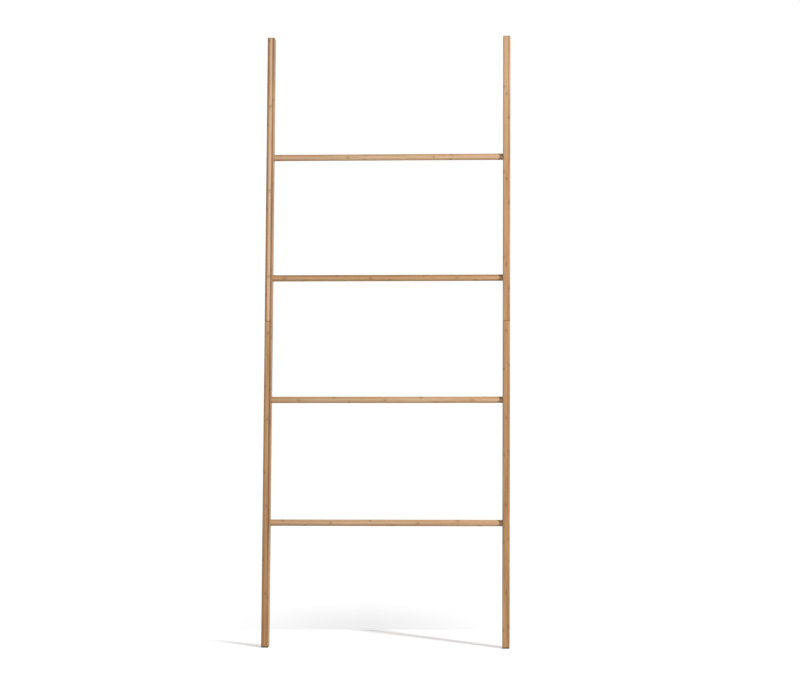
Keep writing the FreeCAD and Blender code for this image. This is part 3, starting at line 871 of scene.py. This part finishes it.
# For each bamboo piece, the tones of its three layers at one end and at the other, and the number that its
# strips are drawn from. A rail's layers run from left to right, and from its lower end to its upper. On some
# rails these tones also hold painted light, as noted below.
CANES = {
    # The upper left rail's pale middle layer between two deep ones is partly its own strips and partly a
    # painted highlight down its front, with painted shade on both edges.
    "left_rail_upper": ((0.8, 0.05, 0.9), (0.75, 0.0, 0.85), 3),
    "left_rail_lower": ((0.75, 0.55, 0.7), (0.6, 0.45, 0.95), 5),
    # The right rail's deeper right-hand layer is partly its own strip and partly painted shade that holds
    # down the key lamp's light on that edge.
    "right_rail_upper": ((0.5, 0.55, 0.75), (0.35, 0.25, 0.65), 8),
    "right_rail_lower": ((0.6, 0.55, 0.7), (0.6, 0.55, 0.6), 12),
    "rung_1": ((0.4, 0.25, 0.35), (0.3, 0.25, 0.3), 21),
    "rung_2": ((0.4, 0.25, 0.3), (0.3, 0.2, 0.3), 22),
    "rung_3": ((0.7, 0.45, 0.6), (0.6, 0.4, 0.55), 23),
    "rung_4": ((0.35, 0.1, 0.25), (0.25, 0.05, 0.25), 24),
}
RAIL_TURN = (-LEAN, 0, 0)
RUNG_TURN = (0, QUARTER_TURN, 0)
TO_WALL = (-QUARTER_TURN, 0, 0)


def seat(piece, slot, *nodes):
    """The piece stands for those CAD nodes and rides with the ladder."""
    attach(piece, BODY)
    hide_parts(*nodes)


def dress(nodes, material):
    """Gives CAD nodes a finish."""
    for node in nodes:
        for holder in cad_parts[node].material_slots:
            holder.material = material


def at_rung_ends(kind):
    """The CAD nodes of that kind, one at each end of each rung."""
    return [f"{rung}_{kind}_{side}" for rung in RUNG_NAMES for side in SIDES]


def hole_radius(fastenings):
    """The plain hole round a screw's shank."""
    return fastenings.shank_radius + fastenings.shank_room


def rail_sizes(side, part, wood, fastenings):
    """What the tree of a rail length needs to know."""
    outward = SIDES[side]
    sizes = {
        "width": RAIL_WIDTH,
        "depth": RAIL_DEPTH,
        "corner": wood.edge_radius,
        "spacing": wood.ring_spacing,
        "outward": outward,
        "seat_pitch": RUNG_PITCH,
        "face_radius": SCREW_HEAD_RADIUS + fastenings.rim + fastenings.head_room,
        "hole_radius": hole_radius(fastenings),
        "socket_radius": RUNG_RADIUS + fastenings.socket_room,
        "socket_depth": SOCKET_DEPTH,
        "mouth_ease": wood.mouth_ease,
        "joint": JOINT,
        "lean": LEAN,
        "lowest": FLOOR_OF_WOOD,
        "rearmost": WALL_SIDE_OF_WOOD,
        "place": Vector((outward * RAIL_X, RAIL_ORIGIN.y, RAIL_ORIGIN.z)),
    }
    if part == "lower":
        stud_bore = STUD_RADIUS + fastenings.insert_room
        sizes.update(
            start=0,
            finish=JOINT,
            start_round=0,
            end_round=wood.joint_round,
            first_seat=FIRST_RUNG,
            upward=-1,
            mouth_radius=stud_bore,
            mouth_depth=fastenings.stud_in_lower / 2,
            bore_radius=stud_bore,
            bore_depth=fastenings.stud_in_lower + fastenings.relief,
        )
    else:
        top_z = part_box(f"{side}_rail_upper")[1].z
        front_edge = (RAIL_DEPTH / 2 - wood.top_chamfer) * math.sin(LEAN)
        sizes.update(
            start=JOINT,
            finish=(top_z - front_edge - RAIL_ORIGIN.z) / math.cos(LEAN),
            start_round=wood.joint_round,
            end_round=wood.top_round,
            first_seat=FIRST_RUNG + 2 * RUNG_PITCH,
            upward=1,
            mouth_radius=RAIL_INSERT_RADIUS + fastenings.insert_room,
            mouth_depth=fastenings.recess + fastenings.rail_insert_length,
            bore_radius=STUD_RADIUS + fastenings.shank_room,
            bore_depth=fastenings.stud_in_upper + fastenings.relief,
        )
    return sizes


class LADDER_OT_rails(bpy.types.Operator):
    """Builds the two lengths of each rail, in laminated bamboo"""

    bl_idname = "ladder.rails"
    bl_label = "Rails"

    def execute(self, context):
        wood = context.scene.ladder_wood
        fastenings = context.scene.ladder_fastenings
        tree = rail_tree()
        for side in SIDES:
            for part in ("lower", "upper"):
                node = f"{side}_rail_{part}"
                sizes = rail_sizes(side, part, wood, fastenings)
                at_start, at_finish, seed = CANES[node]
                tones = ((sizes["start"], at_start), (sizes["finish"], at_finish))
                finish = bamboo(f"{node}_bamboo", wood, tones, seed, sizes["place"], RAIL_TURN)
                piece = grow(f"{node}_wood", tree, {**sizes, "material": finish})
                seat(piece, f"{part}_rail_bamboo", node)
        return {"FINISHED"}


class LADDER_OT_rungs(bpy.types.Operator):
    """Turns the four rungs"""

    bl_idname = "ladder.rungs"
    bl_label = "Rungs"

    def execute(self, context):
        wood = context.scene.ladder_wood
        fastenings = context.scene.ladder_fastenings
        tree = rung_tree()
        sizes = {
            "length": RUNG_LENGTH,
            "radius": RUNG_RADIUS,
            "round": wood.rung_round,
            "seat_radius": RUNG_INSERT_RADIUS + fastenings.insert_room,
            "seat_depth": fastenings.recess + RUNG_INSERT_LENGTH,
            "bore_radius": hole_radius(fastenings),
            "bore_depth": SCREW_LENGTH - RAIL_WIDTH + SOCKET_DEPTH + fastenings.relief,
            "lean": LEAN,
        }
        for node in RUNG_NAMES:
            place = middle(node)
            at_left, at_right, seed = CANES[node]
            tones = ((-RUNG_LENGTH / 2, at_left), (RUNG_LENGTH / 2, at_right))
            finish = bamboo(f"{node}_bamboo", wood, tones, seed, place, RUNG_TURN)
            piece = grow(f"{node}_wood", tree, {**sizes, "place": place, "material": finish})
            seat(piece, "rung_bamboo", node)
        return {"FINISHED"}


class LADDER_OT_fastenings(bpy.types.Operator):
    """Makes the screws, and finishes the studs and inserts inside"""

    bl_idname = "ladder.fastenings"
    bl_label = "Fastenings"

    def execute(self, context):
        fastenings = context.scene.ladder_fastenings
        zinc = plated_steel(fastenings)
        sizes = {
            "length": SCREW_LENGTH,
            "head_radius": SCREW_HEAD_RADIUS,
            "shank_radius": fastenings.shank_radius,
            "rim": fastenings.rim,
            "key": fastenings.key,
            "key_depth": fastenings.key_depth,
            "point": fastenings.point,
            "outside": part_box("right_rail_lower")[1].x,
            "count": len(RUNG_NAMES),
            "first": Vector((0, LOWEST_RUNG.y, LOWEST_RUNG.z)),
            "step": UP_RAIL * RUNG_PITCH,
            "material": zinc,
        }
        screws = grow("rung_screws", screw_tree(), sizes)
        seat(screws, "steel", *at_rung_ends("screw"))
        dress([f"{side}_rail_stud" for side in SIDES], zinc)
        rail_inserts = [f"{side}_rail_insert" for side in SIDES]
        dress(at_rung_ends("insert") + rail_inserts, turned_brass(fastenings))
        return {"FINISHED"}


class LADDER_OT_pads(bpy.types.Operator):
    """Makes the rubber feet and the felt pads behind the tops"""

    bl_idname = "ladder.pads"
    bl_label = "Pads"

    def execute(self, context):
        wood = context.scene.ladder_wood
        pads = context.scene.ladder_pads
        tree = pad_tree()
        foot_finish = {
            "corner": wood.edge_radius - pads.foot_inset,
            "round": pads.foot_round,
            "spacing": pads.foot_round,
            "nap": 0,
            "turn": (0, 0, 0),
            "material": matt_rubber(pads),
        }
        felt_finish = {
            "corner": pads.felt_corner,
            "round": pads.felt_round,
            "spacing": pads.felt_round / 2,
            "nap": pads.felt_nap,
            "turn": TO_WALL,
            "material": pressed_felt(pads),
        }
        for side in SIDES:
            foot = f"{side}_foot_pad"
            width, depth, thickness = extent(foot)
            place = middle(foot)
            place.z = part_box(foot)[0].z
            sizes = {"width": width, "depth": depth, "thickness": thickness, "place": place}
            seat(grow(f"{side}_rubber_foot", tree, sizes | foot_finish), "foot_rubber", foot)

            wall = f"{side}_wall_pad"
            width, thickness, depth = extent(wall)
            place = middle(wall)
            place.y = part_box(wall)[0].y
            sizes = {"width": width, "depth": depth, "thickness": thickness, "place": place}
            seat(grow(f"{side}_felt_pad", tree, sizes | felt_finish), "wall_felt", wall)
        return {"FINISHED"}


# ---- Stage ----

CAMERA_PLACE = Vector((0.491, -7.175, 1.142))
CAMERA_YAW = math.radians(-3.663)
CAMERA_PITCH = math.radians(3.336)
CAMERA_ROLL = math.radians(-0.314)
SENSOR_WIDTH = 36
CLIP_END = 100
FLOOR_HALF = 9
WALL_HEIGHT = 6


def direction(azimuth, elevation):
    """Towards a point that far round to the right of the ladder's front, and that far up, in degrees."""
    round_to_right, up = math.radians(azimuth), math.radians(elevation)
    out = math.cos(up)
    return Vector((math.sin(round_to_right) * out, -math.cos(round_to_right) * out, math.sin(up)))


def add_lamp(name, azimuth, elevation, distance, size, power):
    """A square lamp that faces the middle of the ladder."""
    data = bpy.data.lights.new(name, "AREA")
    data.shape = "SQUARE"
    data.size = size
    data.energy = power
    lamp = add_object(name, data)
    towards = direction(azimuth, elevation)
    lamp.location = (CAD_BOX[0] + CAD_BOX[1]) / 2 + towards * distance
    lamp.rotation_mode = "QUATERNION"
    lamp.rotation_quaternion = towards.to_track_quat("Z", "Y")


def add_camera(focal_length):
    """The camera, where the photographed ladder puts it."""
    data = bpy.data.cameras.new("camera")
    data.sensor_width = SENSOR_WIDTH
    data.lens = focal_length
    data.clip_end = CLIP_END
    camera = add_object("camera", data)
    out = math.cos(CAMERA_PITCH)
    forward = Vector((math.sin(CAMERA_YAW) * out, math.cos(CAMERA_YAW) * out, -math.sin(CAMERA_PITCH)))
    level = Vector((math.cos(CAMERA_YAW), -math.sin(CAMERA_YAW), 0))
    upright = level.cross(forward)
    right = math.cos(CAMERA_ROLL) * level + math.sin(CAMERA_ROLL) * upright
    up = math.cos(CAMERA_ROLL) * upright - math.sin(CAMERA_ROLL) * level
    axes = Matrix((right, up, -forward)).transposed()
    camera.matrix_world = Matrix.Translation(CAMERA_PLACE) @ axes.to_4x4()
    bpy.context.scene.camera = camera


def add_plane(name, corners, material):
    """A flat part of the stage, which faces the side from which its corners run anticlockwise."""
    mesh = bpy.data.meshes.new(name)
    mesh.from_pydata(corners, [], [range(len(corners))])
    mesh.materials.append(material)
    plane = add_object(name, mesh)


class LADDER_OT_stage(bpy.types.Operator):
    """Sets up the floor, wall, lamps and camera"""

    bl_idname = "ladder.stage"
    bl_label = "Stage"

    def execute(self, context):
        stage = context.scene.ladder_stage
        context.scene.view_settings.view_transform = "Standard"
        context.scene.world = pale_world(stage.ambient)
        add_camera(stage.focal_length)
        add_lamp("key", azimuth=57, elevation=20, distance=8.0, size=0.7, power=stage.key_power)
        add_lamp("fill", azimuth=-8, elevation=22, distance=6.0, size=1.6, power=stage.fill_power)

        looks = (stage.room, stage.floor_catch, stage.floor_glow, stage.floor_dip)
        floor = pale_surface("pale_floor", *looks, FLOOR_PATCH)
        flat = [(x, y, 0) for x, y in ((-1, -1), (1, -1), (1, 1), (-1, 1))]
        add_plane("floor", [tuple(FLOOR_HALF * place for place in corner) for corner in flat], floor)
        looks = (stage.room, stage.wall_catch, stage.wall_glow, stage.wall_painted_shadow)
        # The wall's patch is painted shade, a soft grey shadow low down behind the ladder.
        wall = pale_surface("pale_wall", *looks, WALL_PAINTED_SHADOW, one_way=True)
        foot_to_top = ((-1, 0), (1, 0), (1, WALL_HEIGHT), (-1, WALL_HEIGHT))
        add_plane("wall", [(x * FLOOR_HALF, WALL_Y, z) for x, z in foot_to_top], wall)
        return {"FINISHED"}


# ---- The add-on ----

SETTINGS = {
    "ladder_wood": LadderWood,
    "ladder_fastenings": LadderFastenings,
    "ladder_pads": LadderPads,
    "ladder_stage": LadderStage,
}
MAKERS = (LADDER_OT_stage, LADDER_OT_rails, LADDER_OT_rungs, LADDER_OT_fastenings, LADDER_OT_pads)


class VIEW3D_PT_ladder(bpy.types.Panel):
    """The ladder's sizes and colours, and a button for each group of pieces"""

    bl_idname = "VIEW3D_PT_ladder"
    bl_label = "Blanket Ladder"
    bl_space_type = "VIEW_3D"
    bl_region_type = "UI"
    bl_category = "Ladder"

    def draw(self, context):
        for name in SETTINGS:
            settings = getattr(context.scene, name)
            box = self.layout.box()
            for field in settings.bl_rna.properties:
                if field.identifier not in ("name", "rna_type"):
                    box.prop(settings, field.identifier)
        for maker in MAKERS:
            self.layout.operator(maker.bl_idname)


def register():
    """Registers the classes, and hangs the settings on the scene."""
    for settings in SETTINGS.values():
        bpy.utils.register_class(settings)
    for name, settings in SETTINGS.items():
        setattr(bpy.types.Scene, name, PointerProperty(type=settings))
    for item in (*MAKERS, VIEW3D_PT_ladder):
        bpy.utils.register_class(item)


def unregister():
    """Takes away what register added."""
    for item in (VIEW3D_PT_ladder, *reversed(MAKERS)):
        bpy.utils.unregister_class(item)
    for name, settings in SETTINGS.items():
        delattr(bpy.types.Scene, name)
        bpy.utils.unregister_class(settings)


def main():
    """Registers the add-on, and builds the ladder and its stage."""
    register()
    bpy.ops.ladder.stage()
    bpy.ops.ladder.rails()
    bpy.ops.ladder.rungs()
    bpy.ops.ladder.fastenings()
    bpy.ops.ladder.pads()


if __name__ == "__main__":
    main()
